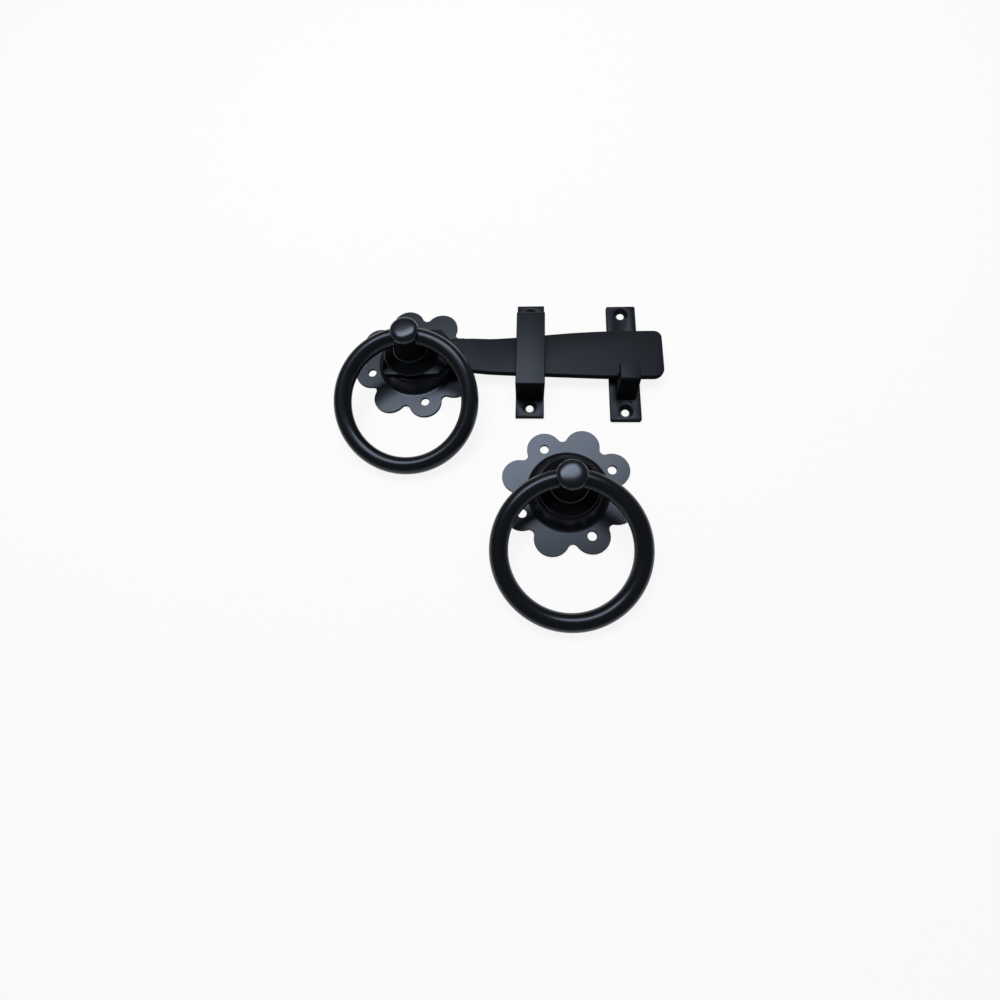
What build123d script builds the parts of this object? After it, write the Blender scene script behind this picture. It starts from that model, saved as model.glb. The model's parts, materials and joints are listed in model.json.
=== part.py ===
from build123d import *
import math
import os

# A ring gate latch laid out as a set, with every back on the plane z = 0.
# Millimetres: X runs along the latch bar to its tip, Y up the gate, Z out of the gate.

# Clearances
running_gap = 0.1
journal_clearance = 0.08
ring_clearance = 0.35
fixed_gap = 0.05
bar_rest_gap = 0.3

# Roses: the scalloped back plates with a pressed dome
rose_thick = 2.0
rose_lobes = 8
rose_lobe_circle_r = 31.95
rose_lobe_r = 11.2
rose_valley_r = 3.2
rose_hole_r = 2.9
rose_hole_count = 4
rose_edge_round = 0.5
dome_base_r = 25.0
dome_top_r = 20.5
dome_top_z = 10.9
dome_foot_round = 3.0
dome_brow_round = 2.5

# Bosses: a collar, a waisted neck and a round crowned eye bored for the ring
collar_r = 19.0
collar_thick = 3.5
collar_edge_round = 0.9
bead_r = 10.2
bead_height = 1.3
neck_r = 8.2
eye_r = 9.3
eye_rim = 8.4
eye_crown = 0.8
eye_edge_round = 3.0
eye_height = 16.4
journal_r = 6.8
journal_end_z = 3.5
square_side = 14.0
socket_side = 7.4
socket_depth = 16.0

# Rings: round bar bent to a full circle
ring_r = 41.5
ring_bar_r = 5.6

# Washers and retaining clips on the journals
washer_r = 12.0
washer_thick = 1.5
clip_thick = 1.2
clip_groove_depth = 0.8
clip_height = 1.9
clip_gap = 3.4
clip_ear_r = 1.6
clip_ear_hole_r = 0.8

# Latch bar: a cranked arm under a pointed head plate
head_thick = 3.5
head_half_width = 17.7
head_back_x = 20.0
head_shoulder_x = 18.4
head_point_x = 34.2
head_corner_cut = 2.4
bar_thick = 3.2
bar_face_z = 10.0
bar_root_x = 25.0
crank_start_x = 40.0
crank_end_x = 52.5
bar_tip_x = 167.8
bar_tip_top_round = 5.5
bar_tip_low_round = 7.0
bar_edge_round = 1.4
head_edge_chamfer = 0.6

# Half widths of the bar above and below its centre line
bar_root_top = 13.1
bar_slim_top = 13.5
bar_slim_top_x = 58.0
bar_swell_top = 16.7
bar_swell_top_x = 98.0
bar_root_low = 11.9
bar_slim_low = 14.1
bar_slim_low_x = 63.0
bar_swell_low = 16.0
bar_swell_low_x = 105.0
bar_tip_top = 18.7
bar_tip_low = 17.3
bar_full_x = 146.0

# Strip stock and its screw holes
strip_thick = 3.0
screw_r = 2.5
countersink_r = 4.8
strip_corner = 0.8
strip_edge_break = 0.4

# Guide: a bridge of bent strip over the bar
guide_x = 79.6
guide_width = 18.9
guide_height = 19.5
guide_low_y = -42.7
guide_high_y = 44.9
guide_low_foot = 14.3
guide_high_foot = 17.5
guide_hole_inset = 7.3
guide_bend_r = 1.6

# Catch: a strip with a hook that holds the bar
catch_x = 142.8
catch_width = 20.1
catch_length = 89.0
catch_y = -0.7
catch_hole_inset = 6.7
hook_x = 143.3
hook_width = 12.8
hook_foot_y = -30.2
hook_bend_y = -24.6
hook_top_y = -11.4
hook_face_z = 19.4
hook_tongue_thick = 3.2
hook_corner_round = 2.2
hook_throat_round = 1.5
hook_tenon_r = 3.0

# Places and turns of the two handles
latch_hole_angle = 15.0
outer_x = 104.05
outer_y = -93.95
outer_hole_angle = 27.2

head_bottom_z = dome_top_z + running_gap
head_top_z = head_bottom_z + head_thick
latch_centre = Vector(0, 0, 0)
outer_centre = Vector(outer_x, outer_y, 0)


def polar(radius, degrees):
    """A point at a radius and an angle on the plane z = 0."""
    turn = math.radians(degrees)
    return (radius * math.cos(turn), radius * math.sin(turn))


def rose_outline_points():
    """Start, crest, end and valley of every lobe, with lobes and valleys tangent."""
    pitch = 360 / rose_lobes
    reach = rose_lobe_r + rose_valley_r
    along = rose_lobe_circle_r * math.cos(math.radians(pitch / 2))
    across = rose_lobe_circle_r * math.sin(math.radians(pitch / 2))
    valley_centre_r = along + math.sqrt(reach**2 - across**2)
    share = rose_lobe_r / reach
    points = []
    for lobe in range(rose_lobes):
        angle = lobe * pitch
        middle = Vector(*polar(rose_lobe_circle_r, angle))
        before = Vector(*polar(valley_centre_r, angle - pitch / 2))
        after = Vector(*polar(valley_centre_r, angle + pitch / 2))
        start = middle + (before - middle) * share
        end = middle + (after - middle) * share
        crest = Vector(*polar(rose_lobe_circle_r + rose_lobe_r, angle))
        valley = Vector(*polar(valley_centre_r - rose_valley_r, angle + pitch / 2))
        points.append((start, crest, end, valley))
    return points


def make_rose(centre, hole_angle):
    """A scalloped plate with a hollow pressed dome and a hole for the journal."""
    flank = (dome_base_r - dome_top_r) / (dome_top_z - rose_thick)
    wall_across = rose_thick * math.sqrt(1 + flank**2)
    under_z = dome_top_z - rose_thick
    hollow_base_r = dome_base_r + flank * rose_thick - wall_across
    hollow_top_r = dome_top_r + flank * rose_thick - wall_across
    skirt_r = dome_base_r + 2 * dome_foot_round
    turned = Plane(origin=centre, x_dir=(*polar(1, hole_angle), 0), z_dir=(0, 0, 1))
    upright = Plane(origin=centre, x_dir=(1, 0, 0), z_dir=(0, -1, 0))
    axis = Axis(centre, (0, 0, 1))
    points = rose_outline_points()
    with BuildPart() as rose:
        with BuildSketch(turned):
            with BuildLine():
                for lobe in range(rose_lobes):
                    start, crest, end, valley = points[lobe]
                    following = points[(lobe + 1) % rose_lobes][0]
                    ThreePointArc(start, crest, end)
                    ThreePointArc(end, valley, following)
            make_face()
        extrude(amount=rose_thick)
        top_edges = rose.faces().sort_by(Axis.Z)[-1].edges()
        fillet(top_edges, rose_edge_round)
        with BuildSketch(upright) as outer:
            with BuildLine():
                Polyline(
                    (0, 0),
                    (skirt_r, 0),
                    (skirt_r, rose_thick),
                    (dome_base_r, rose_thick),
                    (dome_top_r, dome_top_z),
                    (0, dome_top_z),
                    close=True,
                )
            make_face()
            foot = outer.vertices().sort_by_distance((dome_base_r, rose_thick))[0]
            fillet(foot, dome_foot_round)
            brow = outer.vertices().sort_by_distance((dome_top_r, dome_top_z))[0]
            fillet(brow, dome_brow_round)
        revolve(axis=axis)
        with BuildSketch(upright) as hollow:
            with BuildLine():
                Polyline(
                    (0, 0),
                    (hollow_base_r, 0),
                    (hollow_top_r, under_z),
                    (0, under_z),
                    close=True,
                )
            make_face()
            corner = hollow.vertices().sort_by_distance((hollow_top_r, under_z))[0]
            fillet(corner, dome_brow_round / 2)
        revolve(axis=axis, mode=Mode.SUBTRACT)
        with BuildSketch(Plane(origin=centre)):
            Circle(journal_r + journal_clearance)
        extrude(amount=dome_top_z, mode=Mode.SUBTRACT)
        with BuildSketch(turned):
            with PolarLocations(rose_lobe_circle_r, rose_hole_count):
                Circle(rose_hole_r)
        extrude(amount=rose_thick, mode=Mode.SUBTRACT)
    return rose.part


def make_boss(centre, collar_z):
    """Collar, neck and bored eye in one, on a journal with a square socket."""
    eye_z = collar_z + eye_height
    neck_top = eye_z - eye_r / 2
    rim_z = eye_z + eye_rim
    crown_r = (eye_r**2 + eye_crown**2) / (2 * eye_crown)
    crown_z = rim_z + eye_crown
    bead_top = collar_z + collar_thick + bead_height
    groove_top = dome_top_z - rose_thick - running_gap - washer_thick
    groove_low = groove_top - clip_thick
    groove_r = journal_r - clip_groove_depth
    waist_z = (bead_top + neck_top) / 2
    upright = Plane(origin=centre, x_dir=(1, 0, 0), z_dir=(0, -1, 0))
    bore_half = eye_r + ring_clearance
    bore_r = ring_bar_r + ring_clearance
    bore_mouth_r = bore_r + ring_r - math.sqrt(ring_r**2 - bore_half**2)
    eye_centre = centre + Vector(0, 0, eye_z)
    lengthwise = Plane(origin=eye_centre, x_dir=(1, 0, 0), z_dir=(0, -1, 0))
    eye_axis = Axis(eye_centre, (1, 0, 0))
    with BuildPart() as boss:
        with BuildSketch(upright) as outline:
            with BuildLine():
                Polyline(
                    (0, journal_end_z),
                    (journal_r, journal_end_z),
                    (journal_r, groove_low),
                    (groove_r, groove_low),
                    (groove_r, groove_top),
                    (journal_r, groove_top),
                    (journal_r, collar_z),
                    (collar_r - collar_edge_round, collar_z),
                )
                RadiusArc(
                    (collar_r - collar_edge_round, collar_z),
                    (collar_r, collar_z + collar_edge_round),
                    -collar_edge_round,
                )
                Line(
                    (collar_r, collar_z + collar_edge_round),
                    (collar_r, collar_z + collar_thick - 2 * collar_edge_round),
                )
                RadiusArc(
                    (collar_r, collar_z + collar_thick - 2 * collar_edge_round),
                    (collar_r - collar_edge_round, collar_z + collar_thick - collar_edge_round),
                    -collar_edge_round,
                )
                Line(
                    (collar_r - collar_edge_round, collar_z + collar_thick - collar_edge_round),
                    (bead_r, collar_z + collar_thick),
                )
                ThreePointArc(
                    (bead_r, collar_z + collar_thick),
                    (bead_r + bead_height / 2, (collar_z + collar_thick + bead_top) / 2),
                    (bead_r, bead_top),
                )
                Spline(
                    (bead_r, bead_top),
                    (neck_r, waist_z),
                    (eye_r, neck_top),
                    tangents=[(-2, 1), (0, 1)],
                )
                Line((eye_r, neck_top), (eye_r, rim_z))
                RadiusArc((eye_r, rim_z), (0, crown_z), -crown_r)
                Line((0, crown_z), (0, journal_end_z))
            make_face()
            eye_edge = outline.vertices().sort_by_distance((eye_r, rim_z))[0]
            fillet(eye_edge, eye_edge_round)
        revolve(axis=Axis(centre, (0, 0, 1)))
        if collar_z > head_bottom_z:
            with BuildSketch(Plane(origin=centre + Vector(0, 0, head_bottom_z))):
                Rectangle(square_side, square_side)
            extrude(amount=collar_z - head_bottom_z)
        with BuildSketch(Plane(origin=centre + Vector(0, 0, journal_end_z))):
            Rectangle(socket_side, socket_side)
        extrude(amount=socket_depth, mode=Mode.SUBTRACT)
        with BuildSketch(lengthwise):
            with BuildLine():
                ThreePointArc((-bore_half, bore_mouth_r), (0, bore_r), (bore_half, bore_mouth_r))
                Polyline(
                    (bore_half, bore_mouth_r),
                    (bore_half, 0),
                    (-bore_half, 0),
                    (-bore_half, bore_mouth_r),
                )
            make_face()
        revolve(axis=eye_axis, mode=Mode.SUBTRACT)
    return boss.part


def make_ring(centre, collar_z):
    """A ring hung in the eye, leaning until its lowest side meets z = 0."""
    eye_z = collar_z + eye_height
    lean = math.asin((eye_z - ring_bar_r) / (2 * ring_r))
    hang = Vector(0, -math.cos(lean), -math.sin(lean))
    eye_centre = centre + Vector(0, 0, eye_z)
    ring_centre = eye_centre + hang * ring_r
    across = Vector(0, math.sin(lean), -math.cos(lean))
    with BuildPart() as ring:
        with BuildSketch(Plane(origin=eye_centre, x_dir=(0, 1, 0), z_dir=(1, 0, 0))):
            Circle(ring_bar_r)
        revolve(axis=Axis(ring_centre, across))
    return ring.part


def make_washer(centre):
    """A plain washer under the dome, between the sheet and the clip."""
    washer_top = dome_top_z - rose_thick - running_gap
    with BuildPart() as washer:
        with BuildSketch(Plane(origin=centre + Vector(0, 0, washer_top - washer_thick))):
            Circle(washer_r)
            Circle(journal_r + fixed_gap, mode=Mode.SUBTRACT)
        extrude(amount=washer_thick)
    return washer.part


def make_clip(centre):
    """An open retaining clip with two eared ends, sprung into the journal's groove."""
    clip_top = dome_top_z - rose_thick - running_gap - washer_thick
    groove_r = journal_r - clip_groove_depth
    clip_r = groove_r + clip_height + clip_groove_depth
    ear_y = clip_gap / 2 + clip_ear_r
    ear_x = clip_r
    with BuildPart() as clip:
        with BuildSketch(Plane(origin=centre + Vector(0, 0, clip_top - clip_thick))):
            Circle(clip_r)
            with Locations((ear_x, ear_y), (ear_x, -ear_y)):
                Circle(clip_ear_r)
            Circle(groove_r, mode=Mode.SUBTRACT)
            with Locations((clip_r, 0)):
                Rectangle(2 * clip_r, clip_gap, mode=Mode.SUBTRACT)
            with Locations((ear_x, ear_y), (ear_x, -ear_y)):
                Circle(clip_ear_hole_r, mode=Mode.SUBTRACT)
        extrude(amount=clip_thick)
    return clip.part


# Roses
latch_rose = make_rose(latch_centre, latch_hole_angle)
latch_rose.label = "latch_rose"
outer_rose = make_rose(outer_centre, outer_hole_angle)
outer_rose.label = "outer_rose"

# Bosses: the latch side's stands on the bar's head, the other on its dome
latch_boss = make_boss(latch_centre, head_top_z)
latch_boss.label = "latch_boss"
outer_boss = make_boss(outer_centre, head_bottom_z)
outer_boss.label = "outer_boss"

# Rings
latch_ring = make_ring(latch_centre, head_top_z)
latch_ring.label = "latch_ring"
outer_ring = make_ring(outer_centre, head_bottom_z)
outer_ring.label = "outer_ring"

# Washers and clips under the domes
latch_washer = make_washer(latch_centre)
latch_washer.label = "latch_washer"
outer_washer = make_washer(outer_centre)
outer_washer.label = "outer_washer"
latch_clip = make_clip(latch_centre)
latch_clip.label = "latch_clip"
outer_clip = make_clip(outer_centre)
outer_clip.label = "outer_clip"

# Head plate of the latch bar, pointed towards the arm and keyed to the boss
with BuildPart() as bar_head:
    with BuildSketch(Plane(origin=(0, 0, head_bottom_z))):
        with BuildLine():
            Polyline(
                (-head_back_x, -head_half_width + head_corner_cut),
                (-head_back_x + head_corner_cut, -head_half_width),
                (head_shoulder_x, -head_half_width),
                (head_point_x, 0),
                (head_shoulder_x, head_half_width),
                (-head_back_x + head_corner_cut, head_half_width),
                (-head_back_x, head_half_width - head_corner_cut),
                close=True,
            )
        make_face()
        Rectangle(square_side + 2 * fixed_gap, square_side + 2 * fixed_gap, mode=Mode.SUBTRACT)
    extrude(amount=head_thick)
    head_rim = bar_head.faces().sort_by(Axis.Z)[-1].outer_wire().edges()
    chamfer(head_rim, head_edge_chamfer)
bar_head.part.label = "bar_head"

# Arm of the latch bar: its side view, cranked down from the head, cut to its plan
arm_root_z = head_bottom_z
arm_low_z = bar_face_z - bar_thick
with BuildPart() as latch_bar:
    with BuildSketch(Plane(origin=(0, bar_tip_top, 0), x_dir=(1, 0, 0), z_dir=(0, -1, 0))):
        with BuildLine():
            Polyline(
                (bar_root_x, arm_root_z),
                (crank_start_x, arm_root_z),
                (crank_end_x, bar_face_z),
                (bar_tip_x, bar_face_z),
                (bar_tip_x, arm_low_z),
                (crank_end_x, arm_low_z),
                (crank_start_x, arm_root_z - bar_thick),
                (bar_root_x, arm_root_z - bar_thick),
                close=True,
            )
        make_face()
    extrude(amount=bar_tip_top + bar_tip_low)
    with BuildSketch() as arm_plan:
        with BuildLine():
            Line((bar_root_x, -bar_root_low), (bar_root_x, bar_root_top))
            Spline(
                (bar_root_x, bar_root_top),
                (bar_slim_top_x, bar_slim_top),
                (bar_swell_top_x, bar_swell_top),
                (bar_full_x, bar_tip_top),
                tangents=[(1, 0), (1, 0)],
            )
            Polyline(
                (bar_full_x, bar_tip_top),
                (bar_tip_x, bar_tip_top),
                (bar_tip_x, -bar_tip_low),
                (bar_full_x, -bar_tip_low),
            )
            Spline(
                (bar_full_x, -bar_tip_low),
                (bar_swell_low_x, -bar_swell_low),
                (bar_slim_low_x, -bar_slim_low),
                (bar_root_x, -bar_root_low),
                tangents=[(-1, 0), (-1, 0.05)],
            )
        make_face()
        tip_corners = arm_plan.vertices().group_by(Axis.X)[-1].sort_by(Axis.Y)
        fillet(tip_corners[0], bar_tip_low_round)
        fillet(arm_plan.vertices().sort_by_distance((bar_tip_x, bar_tip_top))[0], bar_tip_top_round)
    extrude(amount=head_top_z, mode=Mode.INTERSECT)
    arm_tops = latch_bar.faces().filter_by(lambda face: face.normal_at().Z > 0.9)
    arm_rim = arm_tops.edges().filter_by(lambda edge: edge.center().X > bar_root_x)
    arm_folds = latch_bar.edges().filter_by(Axis.Y).filter_by(lambda edge: edge.center().X < bar_tip_x)
    fillet(arm_rim - arm_folds, bar_edge_round)
latch_bar.part.label = "latch_bar"

# Guide: feet, risers and bridge in one bent strip
guide_bridge_low = guide_low_y + guide_low_foot
guide_bridge_high = guide_high_y - guide_high_foot
guide_side = Plane(origin=(guide_x - guide_width / 2, 0, 0), x_dir=(0, 1, 0), z_dir=(1, 0, 0))
with BuildPart() as guide_bracket:
    with BuildSketch(guide_side) as bend:
        with BuildLine():
            Polyline(
                (guide_low_y, 0),
                (guide_bridge_low + strip_thick, 0),
                (guide_bridge_low + strip_thick, guide_height - strip_thick),
                (guide_bridge_high - strip_thick, guide_height - strip_thick),
                (guide_bridge_high - strip_thick, 0),
                (guide_high_y, 0),
                (guide_high_y, strip_thick),
                (guide_bridge_high, strip_thick),
                (guide_bridge_high, guide_height),
                (guide_bridge_low, guide_height),
                (guide_bridge_low, strip_thick),
                (guide_low_y, strip_thick),
                close=True,
            )
        make_face()
        heights = bend.vertices().group_by(Axis.Y)
        soles = heights[0].sort_by(Axis.X)
        fillet(heights[-1] + soles[1:3], guide_bend_r)
    extrude(amount=guide_width)
    bridge_face = guide_bracket.faces().filter_by(Axis.Z).sort_by(Axis.Z)[-1]
    chamfer(bridge_face.edges().filter_by(Axis.Y), strip_edge_break)
    with Locations(
        (guide_x, guide_low_y + guide_hole_inset, strip_thick),
        (guide_x, guide_high_y - guide_hole_inset, strip_thick),
    ):
        CounterSinkHole(screw_r, countersink_r, depth=strip_thick)
guide_bracket.part.label = "guide_bracket"

# Catch plate with its screw holes and the tenon hole of the hook
hook_floor_y = -bar_tip_low - bar_rest_gap
hook_tenon_y = (hook_foot_y + hook_floor_y) / 2
with BuildPart() as catch_plate:
    with BuildSketch():
        with Locations((catch_x, catch_y)):
            Rectangle(catch_width, catch_length)
    extrude(amount=strip_thick)
    chamfer(catch_plate.edges().filter_by(Axis.Z), strip_corner)
    chamfer(catch_plate.faces().sort_by(Axis.Z)[-1].edges(), strip_edge_break)
    with Locations(
        (catch_x, catch_y - catch_length / 2 + catch_hole_inset, strip_thick),
        (catch_x, catch_y + catch_length / 2 - catch_hole_inset, strip_thick),
    ):
        CounterSinkHole(screw_r, countersink_r, depth=strip_thick)
    with BuildSketch(Plane.XY):
        with Locations((hook_x, hook_tenon_y)):
            Circle(hook_tenon_r)
    extrude(amount=strip_thick, mode=Mode.SUBTRACT)
catch_plate.part.label = "catch_plate"

# Hook: foot on the plate, floor under the bar and a tongue in front of it
hook_inner_z = hook_face_z - hook_tongue_thick
hook_side = Plane(origin=(hook_x - hook_width / 2, 0, 0), x_dir=(0, 1, 0), z_dir=(1, 0, 0))
with BuildPart() as catch_hook:
    with BuildSketch(hook_side) as side:
        with BuildLine():
            Polyline(
                (hook_foot_y, strip_thick),
                (hook_floor_y, strip_thick),
                (hook_floor_y, hook_inner_z),
                (hook_top_y, hook_inner_z),
                (hook_top_y, hook_face_z),
                (hook_bend_y, hook_face_z),
                close=True,
            )
        make_face()
        hook_bend = side.vertices().sort_by_distance((hook_bend_y, hook_face_z))[0]
        fillet(hook_bend, hook_corner_round)
        hook_throat = side.vertices().sort_by_distance((hook_floor_y, hook_inner_z))[0]
        fillet(hook_throat, hook_throat_round)
    extrude(amount=hook_width)
    tongue_corners = catch_hook.edges().filter_by(Axis.Z).group_by(Axis.Y)[-1]
    fillet(tongue_corners, hook_corner_round)
    tongue_face = catch_hook.faces().filter_by(Axis.Z).sort_by(Axis.Z)[-1]
    tongue_sides = tongue_face.edges().filter_by(Axis.Y)
    chamfer(tongue_sides, strip_edge_break)
    with BuildSketch(Plane.XY):
        with Locations((hook_x, hook_tenon_y)):
            Circle(hook_tenon_r)
    extrude(amount=strip_thick)
catch_hook.part.label = "catch_hook"

os.makedirs("parts", exist_ok=True)
made = [
    latch_rose,
    latch_boss,
    latch_ring,
    latch_washer,
    latch_clip,
    bar_head.part,
    latch_bar.part,
    outer_rose,
    outer_boss,
    outer_ring,
    outer_washer,
    outer_clip,
    guide_bracket.part,
    catch_plate.part,
    catch_hook.part,
]
for piece in made:
    export_step(piece, f"parts/{piece.label}.step")
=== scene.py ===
"""Ring gate latch: coats, roses, rings, bosses and a studio stage round the packed part."""

import json
import math

import bmesh
import bpy
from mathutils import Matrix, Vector

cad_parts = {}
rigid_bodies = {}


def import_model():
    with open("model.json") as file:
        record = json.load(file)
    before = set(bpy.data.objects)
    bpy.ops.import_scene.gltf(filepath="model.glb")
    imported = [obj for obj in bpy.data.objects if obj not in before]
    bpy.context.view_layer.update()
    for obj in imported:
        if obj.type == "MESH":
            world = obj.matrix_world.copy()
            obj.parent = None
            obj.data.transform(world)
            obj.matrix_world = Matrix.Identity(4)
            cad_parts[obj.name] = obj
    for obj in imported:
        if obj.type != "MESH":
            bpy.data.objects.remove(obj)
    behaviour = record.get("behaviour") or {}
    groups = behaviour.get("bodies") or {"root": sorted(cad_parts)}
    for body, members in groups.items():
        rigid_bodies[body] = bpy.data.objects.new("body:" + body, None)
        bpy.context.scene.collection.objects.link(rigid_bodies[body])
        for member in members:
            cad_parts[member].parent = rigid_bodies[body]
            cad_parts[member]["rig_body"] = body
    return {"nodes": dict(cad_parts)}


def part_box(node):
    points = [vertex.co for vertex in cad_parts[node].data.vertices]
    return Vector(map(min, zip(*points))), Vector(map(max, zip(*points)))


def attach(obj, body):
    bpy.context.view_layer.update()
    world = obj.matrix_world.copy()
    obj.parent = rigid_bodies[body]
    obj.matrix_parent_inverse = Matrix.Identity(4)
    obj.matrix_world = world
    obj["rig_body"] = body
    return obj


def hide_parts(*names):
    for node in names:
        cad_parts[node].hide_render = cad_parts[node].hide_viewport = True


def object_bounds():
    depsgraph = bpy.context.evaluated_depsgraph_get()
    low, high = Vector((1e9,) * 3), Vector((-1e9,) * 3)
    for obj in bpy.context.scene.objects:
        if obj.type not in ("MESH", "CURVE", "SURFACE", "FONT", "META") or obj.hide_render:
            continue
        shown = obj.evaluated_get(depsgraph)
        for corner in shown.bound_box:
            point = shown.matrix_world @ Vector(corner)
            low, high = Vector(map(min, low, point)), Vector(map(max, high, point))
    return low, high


bl_info = {
    "name": "Ring Gate Latch",
    "version": (1, 0, 0),
    "blender": (4, 5, 0),
    "location": "3D View > Sidebar > Gate Latch",
    "description": "Ring gate latch: roses, bosses, rings, bar, guide and catch in black coat",
    "category": "Object",
}

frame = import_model()
CAD_BOX = [list(corner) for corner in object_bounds()]
MILLIMETRE = 0.001
FULL_TURN = 2 * math.pi

# Meshes and softened edges
WELD_DISTANCE = 0.002 * MILLIMETRE
SEAM_DISTANCE = 0.02 * MILLIMETRE
FLAT_ANGLE = math.radians(0.6)
SHARP_ANGLE = math.radians(35)
RIM_ANGLE = math.radians(50)
SOFT_STEPS = 3
SIDE_SLOPE = 0.6

# Coats
PEEL_SHARE = 0.75
CLOUD_SHINE = 0.06
SPECK_SHINE = 0.05
WORN_LEVEL = 0.76
PLATE_RIPPLE = 0.35
TURNED_RIPPLE = 0.12

# Roses and rings
STEPS_PER_LOBE = 56
HOLE_STEPS = 56
DOME_STEPS = 160
DOME_ROWS = 96
FILLET_STEPS = 12
SKIRT_SHARE = 0.85
RING_STEPS = 224
BAR_STEPS = 56

# Bosses, with shares of the bead's radius
BOSS_STEPS = 128
BORE_STEPS = 96
BORE_ROWS = 12
BORE_OVERRUN = 2 * MILLIMETRE
ARC_STEPS = 8
NECK_ROWS = 14
NECK_FOOT = 1.6
NECK_FILLET = 0.5
CROWN_ROWS = 24
BEAD_SHARE = 0.9
UPRIGHT = (Vector((1, 0, 0)), Vector((0, 1, 0)), Vector((0, 0, 1)))
LENGTHWISE = (Vector((0, 1, 0)), Vector((0, 0, 1)), Vector((1, 0, 0)))

# Stage
FLOOR_HALF_SIDE = 4.0
FLOOR_GAP = 0.2 * MILLIMETRE
LAMP_AIM = Vector((0.07, -0.03, 0.0))
ROOM_TINT = (0.9, 0.95, 1.0)
WHITE = (1, 1, 1, 1)


class Signal:
    """A node socket that takes part in ordinary arithmetic."""

    def __init__(self, tree, socket):
        self.tree = tree
        self.socket = socket

    def _joined(self, operation, first, second):
        node = self.tree.nodes.new("ShaderNodeMath")
        node.operation = operation
        for place, value in enumerate((first, second)):
            if isinstance(value, Signal):
                self.tree.links.new(value.socket, node.inputs[place])
            else:
                node.inputs[place].default_value = value
        return Signal(self.tree, node.outputs[0])

    def __add__(self, other):
        return self._joined("ADD", self, other)

    __radd__ = __add__

    def __sub__(self, other):
        return self._joined("SUBTRACT", self, other)

    def __rsub__(self, other):
        return self._joined("SUBTRACT", other, self)

    def __mul__(self, other):
        return self._joined("MULTIPLY", self, other)

    __rmul__ = __mul__

    def __truediv__(self, other):
        return self._joined("DIVIDE", self, other)

    def __rtruediv__(self, other):
        return self._joined("DIVIDE", other, self)

    def __lt__(self, other):
        return self._joined("LESS_THAN", self, other)


class NodeBoard:
    """Adds nodes to a shader tree or a geometry tree."""

    def __init__(self, tree):
        self.tree = tree

    def node(self, kind, settings=None, sockets=None, output=0):
        """A node of this kind, with its own settings, and its sockets by name or place."""
        node = self.tree.nodes.new(kind)
        for name, value in (settings or {}).items():
            if name == "items":
                while len(node.index_switch_items) < value:
                    node.index_switch_items.new()
            else:
                setattr(node, name, value)
        for name, value in (sockets or {}).items():
            for signal in value if isinstance(value, list) else [value]:
                if isinstance(signal, Signal):
                    self.tree.links.new(signal.socket, node.inputs[name])
                else:
                    node.inputs[name].default_value = signal
        return Signal(self.tree, node.outputs[output])

    def maths(self, operation, *values):
        return self.node("ShaderNodeMath", {"operation": operation}, dict(enumerate(values)))


class Finish(NodeBoard):
    """A material whose nodes end in one surface shader."""

    def __init__(self, name):
        self.material = bpy.data.materials.new(name)
        self.material.use_nodes = True
        self.material.node_tree.nodes.clear()
        super().__init__(self.material.node_tree)

    def surface(self, shader):
        """Ends the tree in this shader and returns the material."""
        end = self.tree.nodes.new("ShaderNodeOutputMaterial")
        self.tree.links.new(shader.socket, end.inputs["Surface"])
        return self.material

    def object_point(self):
        return self.node("ShaderNodeTexCoord", output="Object")

    def noise(self, point, size, detail=2.0, roughness=0.5):
        """Cloudy noise between 0 and 1, with features of this size in metres."""
        return self.node(
            "ShaderNodeTexNoise",
            sockets={"Vector": point, "Scale": 1 / size, "Detail": detail, "Roughness": roughness},
        )

    def mixed(self, share, first, second):
        """One colour turning into another as share goes from 0 to 1."""
        settings = {"data_type": "RGBA", "clamp_factor": True}
        sockets = {0: share, 6: (*first, 1) if isinstance(first, tuple) else first}
        sockets[7] = (*second, 1) if isinstance(second, tuple) else second
        return self.node("ShaderNodeMix", settings, sockets, output=2)


class GeometryBoard(NodeBoard):
    """A Geometry Nodes tree with named inputs."""

    def __init__(self, name, inputs):
        tree = bpy.data.node_groups.new(name, "GeometryNodeTree")
        super().__init__(tree)
        self.identifiers = {}
        for label, (kind, default) in inputs.items():
            socket = tree.interface.new_socket(label, in_out="INPUT", socket_type=kind)
            socket.default_value = default
            self.identifiers[label] = socket.identifier
        tree.interface.new_socket("Geometry", in_out="OUTPUT", socket_type="NodeSocketGeometry")
        self.entry = tree.nodes.new("NodeGroupInput")

    def input(self, label):
        return Signal(self.tree, self.entry.outputs[label])

    def point(self, x=0.0, y=0.0, z=0.0):
        return self.node("ShaderNodeCombineXYZ", sockets={"X": x, "Y": y, "Z": z})

    def part(self, vector, letter):
        """The X, Y or Z of a vector."""
        return self.node("ShaderNodeSeparateXYZ", sockets={"Vector": vector}, output=letter)

    def end(self, geometry, material):
        realized = self.node("GeometryNodeRealizeInstances", sockets={"Geometry": geometry})
        coated = self.node(
            "GeometryNodeSetMaterial", sockets={"Geometry": realized, "Material": material}
        )
        leave = self.tree.nodes.new("NodeGroupOutput")
        self.tree.links.new(coated.socket, leave.inputs[0])


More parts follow.
